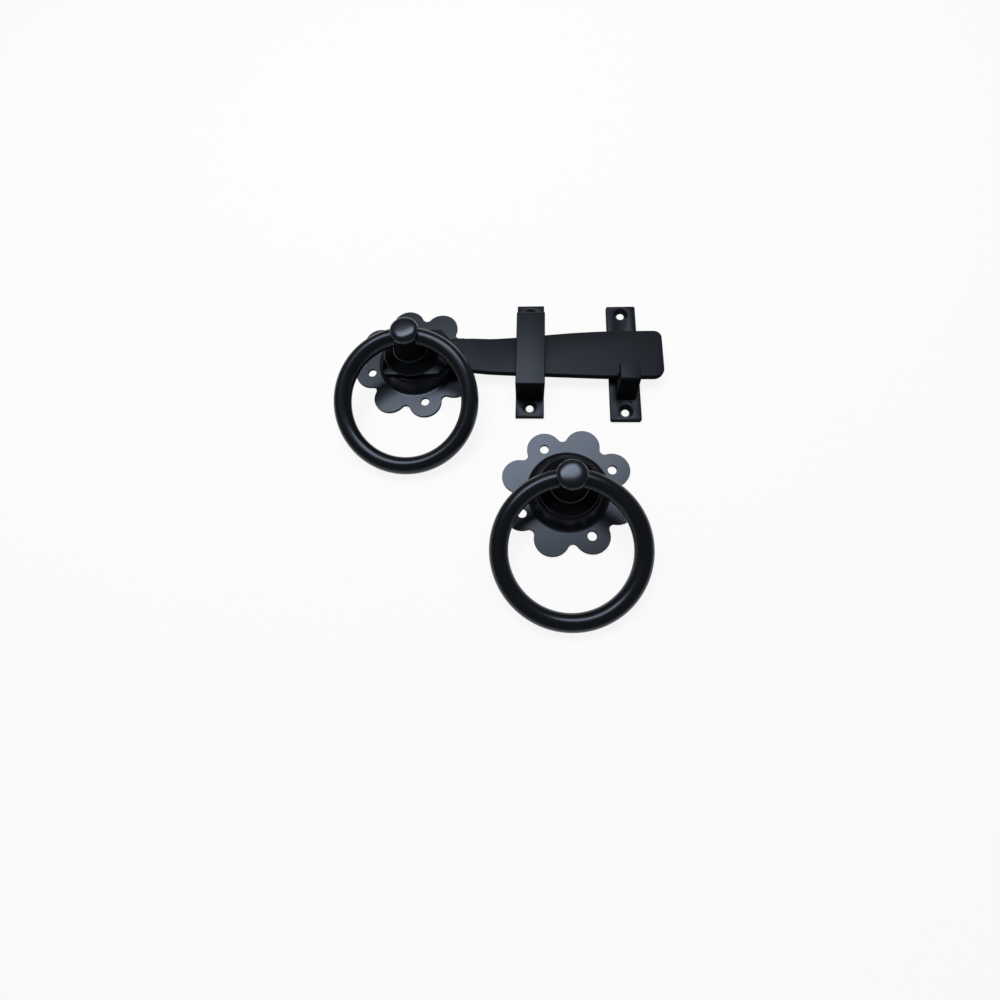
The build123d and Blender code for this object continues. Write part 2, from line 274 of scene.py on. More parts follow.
def powder_coat(name, settings, roughness, gloss, ripple, wear):
    """Baked black powder coat: a cool, uneven near black with orange peel and worn specks."""
    finish = Finish(name)
    point = finish.object_point()
    clouds = finish.noise(point, settings.cloud_size, 3.0)
    peel = finish.noise(point, settings.grain_size, 2.0, 0.55)
    specks = finish.noise(point, settings.grain_size / 4, 1.0)
    dark = tuple(channel * (1 - settings.cloud_depth) for channel in settings.coat_colour)
    light = tuple(channel * (1 + settings.cloud_depth) for channel in settings.coat_colour)
    worn = finish.maths("GREATER_THAN", finish.noise(point, settings.speck_size, 1.0), WORN_LEVEL)
    speck = tuple(settings.speck_colour)
    tone = finish.mixed(worn * wear, finish.mixed(clouds, dark, light), speck)
    height = peel * PEEL_SHARE + specks * (1 - PEEL_SHARE)
    bump = finish.node(
        "ShaderNodeBump",
        sockets={"Strength": ripple, "Distance": settings.grain_depth, "Height": height},
    )
    shine = roughness + (clouds - 0.5) * CLOUD_SHINE + (specks - 0.5) * SPECK_SHINE
    shader = finish.node(
        "ShaderNodeBsdfPrincipled",
        sockets={
            "Base Color": tone,
            "Roughness": shine,
            "Specular IOR Level": gloss,
            # Painted light colour: reflections tinted cool in place of a cool lamp.
            "Specular Tint": (*settings.gloss_tint, 1),
            "Normal": bump,
        },
    )
    return finish.surface(shader)


def zinc_plate():
    """Bright zinc on the washers and clips, with a drawn grain and pale blooms."""
    finish = Finish("zinc_plate_bright")
    point = finish.object_point()
    stretched = finish.node(
        "ShaderNodeMapping", {"vector_type": "POINT"}, {"Vector": point, "Scale": (1.0, 9.0, 1.0)}
    )
    grain_size, bloom_size = 0.0009, 0.004
    grain = finish.noise(stretched, grain_size, 3.0)
    bloom = finish.noise(point, bloom_size, 3.0)
    grey, pale = (0.50, 0.51, 0.52), (0.68, 0.69, 0.68)
    tone = finish.mixed(bloom, grey, pale)
    bump = finish.node(
        "ShaderNodeBump", sockets={"Strength": 0.3, "Distance": 0.00002, "Height": grain}
    )
    shader = finish.node(
        "ShaderNodeBsdfPrincipled",
        sockets={
            "Base Color": tone,
            "Metallic": 1.0,
            "Roughness": 0.28 + bloom * 0.14 + grain * 0.06,
            "Normal": bump,
        },
    )
    return finish.surface(shader)


def finish_named(name):
    """A finish that the finishes operator has made."""
    material = bpy.data.materials.get(name)
    if material is None:
        raise RuntimeError(f"the finish {name} is made first")
    return material


def linked_object(name, mesh):
    piece = bpy.data.objects.new(name, mesh)
    bpy.context.scene.collection.objects.link(piece)
    return piece


def settle_modifiers(piece):
    """Keeps what the modifiers show as the piece's own mesh, and removes them."""
    graph = bpy.context.evaluated_depsgraph_get()
    shown = bpy.data.meshes.new_from_object(piece.evaluated_get(graph))
    shown.name = piece.name
    drafted = piece.data
    piece.modifiers.clear()
    piece.data = shown
    bpy.data.meshes.remove(drafted)
    return piece


def coat_faces(piece, coat, wanted):
    """Gives those faces of a piece that are wanted another coat."""
    piece.data.materials.append(finish_named(coat))
    last = len(piece.data.materials) - 1
    for face in piece.data.polygons:
        if wanted(face):
            face.material_index = last


def is_cut_edge(face):
    """Whether the face is a sheared side of a flat piece, which the dull coat darkens as painted
    shade.
    """
    return abs(face.normal.z) < SIDE_SLOPE


def stand_for(piece, node):
    """The piece takes the place of a CAD node and moves with its body."""
    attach(piece, frame["nodes"][node]["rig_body"])
    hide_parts(node)


def paint_node(node, material):
    for place in frame["nodes"][node].material_slots:
        place.material = material


def merged_copy(node, name):
    """A copy of a CAD node as one closed mesh, with its flat faces whole again."""
    mesh = frame["nodes"][node].data.copy()
    mesh.name = name
    surface = bmesh.new()
    surface.from_mesh(mesh)
    bmesh.ops.remove_doubles(surface, verts=surface.verts, dist=WELD_DISTANCE)
    bmesh.ops.dissolve_limit(
        surface, angle_limit=FLAT_ANGLE, verts=surface.verts, edges=surface.edges
    )
    surface.to_mesh(mesh)
    surface.free()
    mesh.materials.clear()
    return linked_object(name, mesh)


def soften_edges(piece, width, material):
    """Rounds the sharp edges as the coat does, and shades the rest smooth."""
    bevel = piece.modifiers.new("Soft edges", "BEVEL")
    bevel.width = width
    bevel.segments = SOFT_STEPS
    bevel.limit_method = "ANGLE"
    bevel.angle_limit = SHARP_ANGLE
    bevel.harden_normals = True
    bevel.use_clamp_overlap = True
    piece.data.materials.append(material)
    piece.data.polygons.foreach_set("use_smooth", [True] * len(piece.data.polygons))
    return settle_modifiers(piece)


class GateLatchCoatSettings(bpy.types.PropertyGroup):
    """Colour and surface of the powder coat."""

    coat_colour: bpy.props.FloatVectorProperty(
        name="Coat Colour",
        description="Colour of the powder coat",
        subtype="COLOR",
        size=3,
        min=0.0,
        max=1.0,
        default=(0.0042, 0.0046, 0.0054),
    )
    rose_gloss: bpy.props.FloatProperty(
        name="Rose Gloss",
        description="Strength of the roses' reflections",
        default=0.54,
        min=0.0,
        max=1.0,
    )
    bar_gloss: bpy.props.FloatProperty(
        name="Bar Gloss",
        description="Strength of the latch bar's reflections",
        default=0.15,
        min=0.0,
        max=1.0,
    )
    strip_gloss: bpy.props.FloatProperty(
        name="Strip Gloss",
        description="Strength of the reflections on guide and catch",
        default=0.22,
        min=0.0,
        max=1.0,
    )
    ring_gloss: bpy.props.FloatProperty(
        name="Ring Gloss",
        description="Strength of the rings' reflections",
        default=0.36,
        min=0.0,
        max=1.0,
    )
    # Painted shade: the domes get a duller copy of the rose coat so that they render dark as shade
    # does; the real dome has the rose's coat.
    dome_gloss: bpy.props.FloatProperty(
        name="Dome Shade Gloss",
        description="Strength of the reflections on the domes",
        default=0.2,
        min=0.0,
        max=1.0,
    )
    wear: bpy.props.FloatProperty(
        name="Wear",
        description="Strength of the worn specks on the catch",
        default=0.5,
        min=0.0,
        max=1.0,
    )
    speck_size: bpy.props.FloatProperty(
        name="Speck Size",
        description="Size of the worn specks",
        default=0.0016,
        min=0.0001,
        unit="LENGTH",
    )
    speck_colour: bpy.props.FloatVectorProperty(
        name="Speck Colour",
        description="Colour of the worn specks",
        subtype="COLOR",
        size=3,
        min=0.0,
        max=1.0,
        default=(0.07, 0.075, 0.08),
    )
    # Painted shade: a dull copy of the coat with almost no reflection. It darkens sheared sides,
    # necks and collar slopes as the shade on them does; the real latch has one coat all over.
    thin_gloss: bpy.props.FloatProperty(
        name="Shade Coat Gloss",
        description="Strength of the reflections on sheared sides and necks",
        default=0.02,
        min=0.0,
        max=1.0,
    )
    thin_roughness: bpy.props.FloatProperty(
        name="Shade Coat Roughness",
        description="Roughness of sheared sides and necks",
        default=0.55,
        min=0.0,
        max=1.0,
    )
    boss_gloss: bpy.props.FloatProperty(
        name="Boss Gloss",
        description="Strength of the bosses' reflections",
        default=0.55,
        min=0.0,
        max=1.0,
    )
    # Painted light colour: the coat's reflections are tinted blue in place of a cool lamp; a real
    # coat reflects untinted.
    gloss_tint: bpy.props.FloatVectorProperty(
        name="Cool Light Tint",
        description="Cool cast of the coat's reflections",
        subtype="COLOR",
        size=3,
        min=0.0,
        max=1.0,
        default=(0.66, 0.78, 1.0),
    )
    rose_roughness: bpy.props.FloatProperty(
        name="Rose Roughness",
        description="Roughness of the pressed roses",
        default=0.32,
        min=0.0,
        max=1.0,
    )
    bar_roughness: bpy.props.FloatProperty(
        name="Bar Roughness",
        description="Roughness of the latch bar",
        default=0.42,
        min=0.0,
        max=1.0,
    )
    strip_roughness: bpy.props.FloatProperty(
        name="Strip Roughness",
        description="Roughness of guide and catch",
        default=0.36,
        min=0.0,
        max=1.0,
    )
    ring_roughness: bpy.props.FloatProperty(
        name="Ring Roughness",
        description="Roughness of rings and bosses",
        default=0.25,
        min=0.0,
        max=1.0,
    )
    grain_size: bpy.props.FloatProperty(
        name="Orange Peel Size",
        description="Distance from one ripple of the coat to the next",
        default=0.0011,
        min=0.0001,
        unit="LENGTH",
    )
    grain_depth: bpy.props.FloatProperty(
        name="Orange Peel Depth",
        description="Height of the ripples",
        default=0.00003,
        min=0.0,
        unit="LENGTH",
    )
    cloud_size: bpy.props.FloatProperty(
        name="Cloud Size",
        description="Size of the patches where the coat is a little lighter",
        default=0.018,
        min=0.001,
        unit="LENGTH",
    )
    cloud_depth: bpy.props.FloatProperty(
        name="Cloud Depth",
        description="How much lighter the patches are",
        default=0.12,
        min=0.0,
        max=1.0,
    )


class GateLatchRoseSettings(bpy.types.PropertyGroup):
    """Sizes of the scalloped roses."""

    lobe_count: bpy.props.IntProperty(
        name="Lobes", description="Number of lobes round a rose", default=8, min=3
    )
    lobe_circle: bpy.props.FloatProperty(
        name="Lobe Circle Radius",
        description="Distance from the rose's centre to the middle of a lobe",
        default=31.95 * MILLIMETRE,
        unit="LENGTH",
    )
    lobe_radius: bpy.props.FloatProperty(
        name="Lobe Radius", description="Radius of a lobe", default=11.2 * MILLIMETRE, unit="LENGTH"
    )
    valley_radius: bpy.props.FloatProperty(
        name="Valley Radius",
        description="Radius of the notch between two lobes",
        default=3.2 * MILLIMETRE,
        unit="LENGTH",
    )
    sheet_thickness: bpy.props.FloatProperty(
        name="Sheet Thickness",
        description="Thickness of the steel",
        default=2 * MILLIMETRE,
        unit="LENGTH",
    )
    screw_count: bpy.props.IntProperty(
        name="Screw Holes", description="Number of screw holes in a rose", default=4, min=1
    )
    screw_radius: bpy.props.FloatProperty(
        name="Screw Hole Radius",
        description="Radius of a screw hole",
        default=2.9 * MILLIMETRE,
        unit="LENGTH",
    )
    journal_hole: bpy.props.FloatProperty(
        name="Journal Hole Radius",
        description="Radius of the hole for the boss",
        default=6.88 * MILLIMETRE,
        unit="LENGTH",
    )
    dome_foot: bpy.props.FloatProperty(
        name="Dome Foot Radius",
        description="Radius of the dome at its foot",
        default=25 * MILLIMETRE,
        unit="LENGTH",
    )
    dome_top: bpy.props.FloatProperty(
        name="Dome Top Radius",
        description="Radius of the dome at its top",
        default=20.5 * MILLIMETRE,
        unit="LENGTH",
    )
    foot_round: bpy.props.FloatProperty(
        name="Foot Rounding",
        description="Radius where the dome meets the plate",
        default=3 * MILLIMETRE,
        unit="LENGTH",
    )
    brow_round: bpy.props.FloatProperty(
        name="Brow Rounding",
        description="Radius round the dome's top",
        default=2.5 * MILLIMETRE,
        unit="LENGTH",
    )
    rim_round: bpy.props.FloatProperty(
        name="Rim Rounding",
        description="Rounding of the sheet's edges",
        default=0.35 * MILLIMETRE,
        unit="LENGTH",
    )
    latch_turn: bpy.props.FloatProperty(
        name="Latch Rose Turn",
        description="Turn of the rose on the bar's side",
        default=math.radians(15.0),
        subtype="ANGLE",
    )
    outer_turn: bpy.props.FloatProperty(
        name="Outer Rose Turn",
        description="Turn of the rose of the other side",
        default=math.radians(27.2),
        subtype="ANGLE",
    )


class GateLatchBossSettings(bpy.types.PropertyGroup):
    """Sizes of the bosses that carry the rings."""

    collar_radius: bpy.props.FloatProperty(
        name="Collar Radius",
        description="Radius of the collar",
        default=19.0 * MILLIMETRE,
        unit="LENGTH",
    )
    collar_rim: bpy.props.FloatProperty(
        name="Collar Rim",
        description="Thickness of the collar at its rim",
        default=1.2 * MILLIMETRE,
        unit="LENGTH",
    )
    collar_height: bpy.props.FloatProperty(
        name="Collar Height",
        description="Height of the bead's middle above the collar's foot",
        default=4.2 * MILLIMETRE,
        unit="LENGTH",
    )
    bead_radius: bpy.props.FloatProperty(
        name="Bead Radius",
        description="Radius of the bead round the neck",
        default=1.35 * MILLIMETRE,
        unit="LENGTH",
    )
    neck_radius: bpy.props.FloatProperty(
        name="Neck Radius",
        description="Radius of the neck at its waist",
        default=9.2 * MILLIMETRE,
        unit="LENGTH",
    )
    eye_radius: bpy.props.FloatProperty(
        name="Eye Radius",
        description="Radius of the head that the ring passes through",
        default=9.3 * MILLIMETRE,
        unit="LENGTH",
    )
    eye_height: bpy.props.FloatProperty(
        name="Eye Height",
        description="Height of the bore above the collar's foot",
        default=16.4 * MILLIMETRE,
        unit="LENGTH",
    )
    shoulder_height: bpy.props.FloatProperty(
        name="Shoulder Height",
        description="Height above the bore where the head starts to round over",
        default=4.6 * MILLIMETRE,
        unit="LENGTH",
    )
    crown_height: bpy.props.FloatProperty(
        name="Crown Height",
        description="Height of the head above the bore",
        default=9.2 * MILLIMETRE,
        unit="LENGTH",
    )
    bore_radius: bpy.props.FloatProperty(
        name="Bore Radius",
        description="Radius of the bore at its middle",
        default=5.95 * MILLIMETRE,
        unit="LENGTH",
    )
    bore_bend: bpy.props.FloatProperty(
        name="Bore Bend",
        description="Radius that the bore flares with, that of the ring",
        default=41.5 * MILLIMETRE,
        unit="LENGTH",
    )
    journal_radius: bpy.props.FloatProperty(
        name="Journal Radius",
        description="Radius of the journal in the rose",
        default=6.8 * MILLIMETRE,
        unit="LENGTH",
    )
    groove_height: bpy.props.FloatProperty(
        name="Groove Height",
        description="Height of the clip's groove above the gate",
        default=6.1 * MILLIMETRE,
        unit="LENGTH",
    )
    groove_width: bpy.props.FloatProperty(
        name="Groove Width",
        description="Width of the clip's groove",
        default=1.2 * MILLIMETRE,
        unit="LENGTH",
    )
    groove_depth: bpy.props.FloatProperty(
        name="Groove Depth",
        description="Depth of the clip's groove",
        default=0.8 * MILLIMETRE,
        unit="LENGTH",
    )
    square_side: bpy.props.FloatProperty(
        name="Square Side",
        description="Side of the square that turns the bar",
        default=14.0 * MILLIMETRE,
        unit="LENGTH",
    )
    socket_side: bpy.props.FloatProperty(
        name="Socket Side",
        description="Side of the spindle's socket",
        default=7.4 * MILLIMETRE,
        unit="LENGTH",
    )
    socket_depth: bpy.props.FloatProperty(
        name="Socket Depth",
        description="Depth of the spindle's socket",
        default=16.0 * MILLIMETRE,
        unit="LENGTH",
    )
    edge_softness: bpy.props.FloatProperty(
        name="Edge Softness",
        description="Rounding of the sharp edges under the coat",
        default=0.3 * MILLIMETRE,
        unit="LENGTH",
    )
    head_squareness: bpy.props.FloatProperty(
        name="Head Squareness",
        description="From 2, a round head, to flatter above",
        default=3.0,
        min=2.0,
    )


class GateLatchRingSettings(bpy.types.PropertyGroup):
    """Sizes of the rings and of the softened edges."""

    bar_radius: bpy.props.FloatProperty(
        name="Ring Bar Radius",
        description="Radius of the round bar that a ring is bent from",
        default=5.6 * MILLIMETRE,
        unit="LENGTH",
    )
    edge_softness: bpy.props.FloatProperty(
        name="Edge Softness",
        description="Rounding of the plates' edges under the coat",
        default=0.35 * MILLIMETRE,
        unit="LENGTH",
    )


class GateLatchStageSettings(bpy.types.PropertyGroup):
    """Floor, lamp and camera."""

    floor_colour: bpy.props.FloatVectorProperty(
        name="Floor Colour",
        description="Colour of the floor",
        subtype="COLOR",
        size=3,
        min=0.0,
        max=1.0,
        default=(0.86, 0.86, 0.86),
    )
    floor_lift: bpy.props.FloatProperty(
        name="Floor Lift",
        description="How far the seen floor turns to plain white",
        default=0.88,
        min=0.0,
        max=1.0,
        subtype="FACTOR",
    )
    softbox_place: bpy.props.FloatVectorProperty(
        name="Softbox Place",
        description="Centre of the lamp above the set",
        subtype="TRANSLATION",
        size=3,
        default=(-0.05, 0.34, 1.0),
    )
    softbox_width: bpy.props.FloatProperty(
        name="Softbox Width",
        description="Long side of the lamp",
        default=1.0,
        min=0.01,
        unit="LENGTH",
    )
    softbox_depth: bpy.props.FloatProperty(
        name="Softbox Depth",
        description="Short side of the lamp",
        default=0.45,
        min=0.01,
        unit="LENGTH",
    )
    softbox_power: bpy.props.FloatProperty(
        name="Softbox Power",
        description="Power of the lamp in watts",
        default=10.6,
        min=0.0,
        unit="POWER",
    )
    surround: bpy.props.FloatProperty(
        name="Surround", description="Strength of the light from all round", default=0.17, min=0.0
    )
    camera_place: bpy.props.FloatVectorProperty(
        name="Camera Place",
        description="Where the photograph was taken from",
        subtype="TRANSLATION",
        size=3,
        default=(0.0791, -0.1818, 0.27515),
    )
    camera_turn: bpy.props.FloatVectorProperty(
        name="Camera Turn",
        description="Turn of the camera",
        subtype="EULER",
        size=3,
        default=tuple(math.radians(angle) for angle in (16.70, 3.155, 1.704)),
    )
    camera_lens: bpy.props.FloatProperty(
        name="Lens",
        description="Focal length on a 36 mm frame",
        default=16.30,
        min=1.0,
        unit="CAMERA",
    )


class GATELATCH_OT_finishes(bpy.types.Operator):
    """Makes the powder coats and the zinc plate"""

    bl_idname = "gate_latch.finishes"
    bl_label = "Make Finishes"

    def execute(self, context):
        coat = context.scene.gate_latch_coat
        for name, roughness, gloss, ripple, wear in (
            ("coat_on_roses", coat.rose_roughness, coat.rose_gloss, PLATE_RIPPLE, 0.0),
            # Painted shade: the dome coat is a duller copy of the rose coat that darkens the domes
            # as shade does.
            ("coat_on_domes", coat.rose_roughness, coat.dome_gloss, PLATE_RIPPLE, 0.0),
            ("coat_on_bar", coat.bar_roughness, coat.bar_gloss, PLATE_RIPPLE, 0.0),
            ("coat_on_strips", coat.strip_roughness, coat.strip_gloss, PLATE_RIPPLE, 0.0),
            ("coat_on_catch", coat.strip_roughness, coat.strip_gloss, PLATE_RIPPLE, coat.wear),
            ("coat_on_rings", coat.ring_roughness, coat.ring_gloss, TURNED_RIPPLE, 0.0),
            ("coat_on_bosses", coat.ring_roughness, coat.boss_gloss, TURNED_RIPPLE, 0.0),
            # Painted shade: a dull copy of the coat that darkens sheared sides, necks and collar
            # slopes as shade does.
            ("coat_thin", coat.thin_roughness, coat.thin_gloss, PLATE_RIPPLE, 0.0),
        ):
            powder_coat(name, coat, roughness, gloss, ripple, wear)
        zinc_plate()
        return {"FINISHED"}


def rose_tree(name, inputs, material):
    """Sheet of a scalloped rose: its outline filled but for the holes, and the dome pressed up."""
    board = GeometryBoard(name, inputs)
    lobes = board.input("Lobes")
    circle = board.input("Lobe Circle Radius")
    lobe_r = board.input("Lobe Radius")
    valley_r = board.input("Valley Radius")
    thickness = board.input("Sheet Thickness")
    points = lobes * STEPS_PER_LOBE

    half_pitch = math.pi / lobes
    reach = lobe_r + valley_r
    across = circle * board.maths("SINE", half_pitch)
    valley_circle = circle * board.maths("COSINE", half_pitch) + board.maths(
        "SQRT", reach * reach - across * across
    )
    to_valley = valley_circle * board.maths("COSINE", half_pitch) - circle
    meet_x = circle + to_valley * (lobe_r / reach)
    meet_y = valley_circle * board.maths("SINE", half_pitch) * (lobe_r / reach)
    meet_angle = board.maths("ARCTAN2", meet_y, meet_x)
    angle = board.node("GeometryNodeInputIndex") * FULL_TURN / points
    phase = board.maths("FRACT", angle / (2 * half_pitch) + 0.5) - 0.5
    from_lobe = board.maths("ABSOLUTE", phase) * 2 * half_pitch
    from_valley = half_pitch - from_lobe
    lobe_side = circle * board.maths("SINE", from_lobe)
    valley_side = valley_circle * board.maths("SINE", from_valley)
    lobe_reach = circle * board.maths("COSINE", from_lobe) + board.maths(
        "SQRT", lobe_r * lobe_r - lobe_side * lobe_side
    )
    valley_reach = valley_circle * board.maths("COSINE", from_valley) - board.maths(
        "SQRT", valley_r * valley_r - valley_side * valley_side
    )
    radius = valley_reach + (lobe_reach - valley_reach) * (from_lobe < meet_angle)
    rim_line = board.node("GeometryNodeCurvePrimitiveCircle", sockets={"Resolution": points})
    rim_point = board.point(
        radius * board.maths("COSINE", angle), radius * board.maths("SINE", angle)
    )
    rim = board.node(
        "GeometryNodeSetPosition", sockets={"Geometry": rim_line, "Position": rim_point}
    )

    places = board.node(
        "GeometryNodeMeshCircle", sockets={"Vertices": board.input("Screw Holes"), "Radius": circle}
    )
    hole = board.node(
        "GeometryNodeCurvePrimitiveCircle",
        sockets={"Resolution": HOLE_STEPS, "Radius": board.input("Screw Hole Radius")},
    )
    holes = board.node("GeometryNodeInstanceOnPoints", sockets={"Points": places, "Instance": hole})
    screw_holes = board.node("GeometryNodeRealizeInstances", sockets={"Geometry": holes})
    skirt_r = board.input("Dome Foot Radius") + board.input("Foot Rounding") * SKIRT_SHARE
    skirt = board.node(
        "GeometryNodeCurvePrimitiveCircle", sockets={"Resolution": DOME_STEPS, "Radius": skirt_r}
    )
    outlines = board.node(
        "GeometryNodeJoinGeometry", sockets={"Geometry": [screw_holes, skirt, rim]}
    )
    flat = board.node("GeometryNodeFillCurve", {"mode": "NGONS"}, {"Curve": outlines})
    plate = board.node(
        "GeometryNodeTransform", sockets={"Geometry": flat, "Translation": board.point(z=thickness)}
    )

    top = board.input("Dome Height")
    corners = [
        board.point(board.input("Journal Hole Radius"), 0.0, top),
        board.point(board.input("Dome Top Radius"), 0.0, top),
        board.point(board.input("Dome Foot Radius"), 0.0, thickness),
        board.point(skirt_r, 0.0, thickness),
    ]
    index = board.node("GeometryNodeInputIndex")
    corner = board.node(
        "GeometryNodeIndexSwitch",
        {"data_type": "VECTOR", "items": len(corners)},
        {"Index": index, **{str(place): spot for place, spot in enumerate(corners)}},
    )
    line = board.node(
        "GeometryNodeSetPosition",
        sockets={
            "Geometry": board.node("GeometryNodeMeshLine", sockets={"Count": len(corners)}),
            "Position": corner,
        },
    )
    past_brow = board.maths("GREATER_THAN", index, 1.5)
    brow = board.input("Brow Rounding")
    profile = board.node(
        "GeometryNodeFilletCurve",
        {"mode": "POLY"},
        {
            "Curve": board.node("GeometryNodeMeshToCurve", sockets={"Mesh": line}),
            "Count": FILLET_STEPS,
            "Radius": brow + (board.input("Foot Rounding") - brow) * past_brow,
        },
    )

    grid = board.node(
        "GeometryNodeMeshGrid",
        sockets={
            "Size X": 1.0,
            "Size Y": 1.0,
            "Vertices X": DOME_ROWS,
            "Vertices Y": DOME_STEPS + 1,
        },
    )
    place = board.node("GeometryNodeInputPosition")
    along = board.part(place, "X") + 0.5
    bearing = (board.part(place, "Y") + 0.5) * FULL_TURN
    spot = board.node(
        "GeometryNodeSampleCurve", sockets={"Curves": profile, "Factor": along}, output=1
    )
    out = board.part(spot, "X")
    dome_point = board.point(
        out * board.maths("COSINE", bearing),
        out * board.maths("SINE", bearing),
        board.part(spot, "Z"),
    )
    dome = board.node("GeometryNodeSetPosition", sockets={"Geometry": grid, "Position": dome_point})

    sheet = board.node(
        "GeometryNodeMergeByDistance",
        sockets={
            "Geometry": board.node("GeometryNodeJoinGeometry", sockets={"Geometry": [plate, dome]}),
            "Distance": SEAM_DISTANCE,
        },
    )
    smooth = board.node("GeometryNodeSetShadeSmooth", sockets={"Geometry": sheet})
    turned = board.node(
        "GeometryNodeTransform",
        sockets={
            "Geometry": smooth,
            "Translation": board.input("Centre"),
            "Rotation": board.point(z=board.input("Turn")),
        },
    )
    board.end(turned, material)
    return board


def ring_tree(name, inputs, material):
    """A round bar bent to a full ring, leaning as it hangs in the head that holds it."""
    board = GeometryBoard(name, inputs)
    bend = board.node(
        "GeometryNodeCurvePrimitiveCircle",
        sockets={"Resolution": RING_STEPS, "Radius": board.input("Ring Radius")},
    )
    bar = board.node(
        "GeometryNodeCurvePrimitiveCircle",
        sockets={"Resolution": BAR_STEPS, "Radius": board.input("Bar Radius")},
    )
    swept = board.node("GeometryNodeCurveToMesh", sockets={"Curve": bend, "Profile Curve": bar})
    smooth = board.node("GeometryNodeSetShadeSmooth", sockets={"Geometry": swept})
    hung = board.node(
        "GeometryNodeTransform",
        sockets={
            "Geometry": smooth,
            "Translation": board.input("Centre"),
            "Rotation": board.point(x=board.input("Lean")),
        },
    )
    board.end(hung, material)
    return board


def grown_piece(name, board, inputs):
    """An object whose mesh comes from a geometry tree with these inputs."""
    piece = linked_object(name, bpy.data.meshes.new(name))
    growth = piece.modifiers.new(name, "NODES")
    growth.node_group = board.tree
    for label, (_, value) in inputs.items():
        growth[board.identifiers[label]] = value
    return piece


class GATELATCH_OT_roses(bpy.types.Operator):
    """Builds both scalloped roses with their pressed domes and screw holes"""

    bl_idname = "gate_latch.roses"
    bl_label = "Build Roses"

    def execute(self, context):
        rose = context.scene.gate_latch_rose
        coat = finish_named("coat_on_roses")
        length = "NodeSocketFloat"
        for node, turn in (("latch_rose", rose.latch_turn), ("outer_rose", rose.outer_turn)):
            low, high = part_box(node)
            inputs = {
                "Lobes": ("NodeSocketInt", rose.lobe_count),
                "Lobe Circle Radius": (length, rose.lobe_circle),
                "Lobe Radius": (length, rose.lobe_radius),
                "Valley Radius": (length, rose.valley_radius),
                "Sheet Thickness": (length, rose.sheet_thickness),
                "Screw Holes": ("NodeSocketInt", rose.screw_count),
                "Screw Hole Radius": (length, rose.screw_radius),
                "Journal Hole Radius": (length, rose.journal_hole),
                "Dome Foot Radius": (length, rose.dome_foot),
                "Dome Top Radius": (length, rose.dome_top),
                "Foot Rounding": (length, rose.foot_round),
                "Brow Rounding": (length, rose.brow_round),
                "Dome Height": (length, high.z - low.z),
                "Turn": (length, turn),
                "Centre": ("NodeSocketVector", ((low.x + high.x) / 2, (low.y + high.y) / 2, low.z)),
            }
            board = rose_tree(node + "_sheet", inputs, coat)
            piece = grown_piece(node + "_pressed", board, inputs)
            wall = piece.modifiers.new("Sheet thickness", "SOLIDIFY")
            wall.thickness = rose.sheet_thickness
            wall.offset = -1
            wall.use_even_offset = True
            bevel = piece.modifiers.new("Rolled rim", "BEVEL")
            bevel.width = rose.rim_round
            bevel.segments = SOFT_STEPS
            bevel.limit_method = "ANGLE"
            bevel.angle_limit = RIM_ANGLE
            bevel.harden_normals = True
            settle_modifiers(piece)
            # Painted shade: the domes and the sheet's sheared sides get duller copies of the coat,
            # which render them dark as shade does.
            sheet_top = low.z + rose.sheet_thickness
            dome_low = sheet_top + 0.2 * MILLIMETRE
            coat_faces(piece, "coat_on_domes", lambda face: face.center.z > dome_low)
            coat_faces(
                piece, "coat_thin", lambda face: is_cut_edge(face) and face.center.z < sheet_top
            )
            stand_for(piece, node)
        return {"FINISHED"}


class GATELATCH_OT_rings(bpy.types.Operator):
    """Builds the rings that hang in the eyes"""

    bl_idname = "gate_latch.rings"
    bl_label = "Build Rings"

    def execute(self, context):
        bar_radius = context.scene.gate_latch_ring.bar_radius
        coat = finish_named("coat_on_rings")
        for node in ("latch_ring", "outer_ring"):
            low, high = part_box(node)
            middle = (low + high) / 2
            radius = (high.x - low.x) / 2 - bar_radius
            lean = math.asin((high.z - low.z - 2 * bar_radius) / (2 * radius))
            inputs = {
                "Ring Radius": ("NodeSocketFloat", radius),
                "Bar Radius": ("NodeSocketFloat", bar_radius),
                "Lean": ("NodeSocketFloat", lean),
                "Centre": ("NodeSocketVector", tuple(middle)),
            }
            board = ring_tree(node + "_bend", inputs, coat)
            piece = settle_modifiers(grown_piece(node + "_bent", board, inputs))
            stand_for(piece, node)
        return {"FINISHED"}


def closed_shell(name, rings):
    """A closed mesh round rings of points of equal count; a ring of one point closes an end."""
    surface = bmesh.new()
    loops = [[surface.verts.new(point) for point in ring] for ring in rings]
    for low, high in zip(loops, loops[1:]):
        steps = max(len(low), len(high))
        for step in range(steps):
            after = (step + 1) % steps
            floor = [low[step % len(low)], low[after % len(low)]]
            roof = [high[after % len(high)], high[step % len(high)]]
            surface.faces.new(dict.fromkeys(floor + roof))
    bmesh.ops.recalc_face_normals(surface, faces=surface.faces)
    mesh = bpy.data.meshes.new(name)
    surface.to_mesh(mesh)
    surface.free()
    return linked_object(name, mesh)


def turned_round(name, profile, centre, directions, steps):
    """A solid turned from (radius, height) pairs about the last of three directions."""
    across, beside, along = directions
    rings = []
    for radius, height in profile:
        middle = centre + along * height
        turns = [FULL_TURN * step / steps for step in range(steps)] if radius else [0.0]
        rings.append(
            [middle + across * radius * math.cos(a) + beside * radius * math.sin(a) for a in turns]
        )
    return closed_shell(name, rings)


def square_block(name, centre, side, low, high):
    """A square block on the upright axis through centre."""
    half = side / 2
    corners = ((half, half), (-half, half), (-half, -half), (half, -half))
    floors = [[Vector((centre.x + x, centre.y + y, z)) for x, y in corners] for z in (low, high)]
    ends = [[Vector((centre.x, centre.y, z))] for z in (low, high)]
    return closed_shell(name, [ends[0], *floors, ends[1]])


